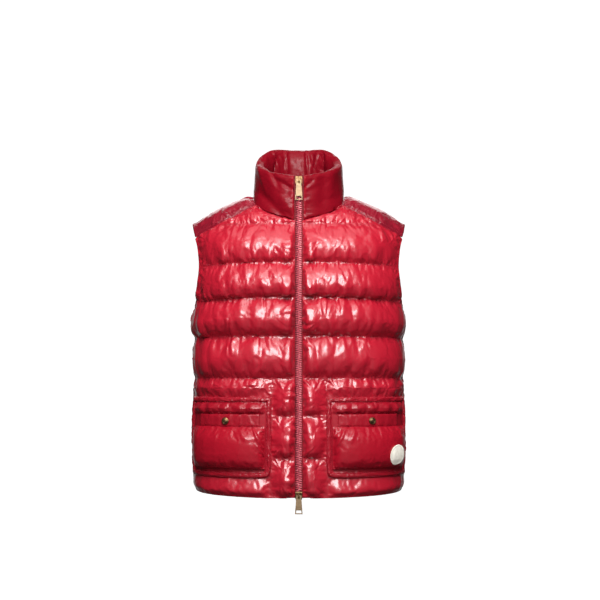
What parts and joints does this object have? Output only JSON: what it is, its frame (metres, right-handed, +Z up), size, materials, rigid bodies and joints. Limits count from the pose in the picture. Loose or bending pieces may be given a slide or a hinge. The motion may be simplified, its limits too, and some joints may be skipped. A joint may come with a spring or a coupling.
{
  "type": "puffer vest",
  "caption": "Quilted down vest with stand collar, two-way front zip and snap-closed patch pockets, filled out as if worn.",
  "frame": {"origin": "middle of the neck opening at the height where the yokes rest on the wearer's shoulders", "axes": "+Z up, -Y out of the front zip, +X to the right as seen from the front"},
  "size_m": [0.3864, 0.2744, 0.6545],
  "materials": {
    "shell": "glossy coated nylon with a fine plain weave",
    "yoke_shell": "darker, less glossy coated nylon",
    "zip_tape": "matt woven polyester",
    "zip_teeth": "satin moulded plastic",
    "brass": "antique satin",
    "patch_felt": "matt felt"
  },
  "bodies": {
    "vest": {"front_left": "shell", "front_right": "shell", "back": "shell", "yoke_left": "yoke_shell", "yoke_right": "yoke_shell", "collar": "shell", "pocket_base_left": "shell", "pocket_base_right": "shell", "pocket_pouch_left": "shell", "pocket_pouch_right": "shell", "pocket_band_left": "shell", "pocket_band_right": "shell", "snap_left": "brass", "snap_right": "brass", "patch": "patch_felt", "zip_tape_left": "zip_tape", "zip_tape_right": "zip_tape", "zip_chain_left": "zip_teeth", "zip_chain_right": "zip_teeth", "zip_slider_top": "brass", "zip_slider_bottom": "brass"},
    "pull_top": {"zip_pull_top": "brass"},
    "pull_bottom": {"zip_pull_bottom": "brass"}
  },
  "joints": [
    {"name": "pull_top_swing", "type": "hinge", "parent": "vest", "child": "pull_top", "pos_m": [0, -0.09221, 0.0205], "axis": [-1, 0, 0], "range_deg": [0, 170]},
    {"name": "pull_bottom_swing", "type": "hinge", "parent": "vest", "child": "pull_bottom", "pos_m": [0, -0.12029, -0.5255], "axis": [-1, 0, 0], "range_deg": [0, 170]}
  ]
}
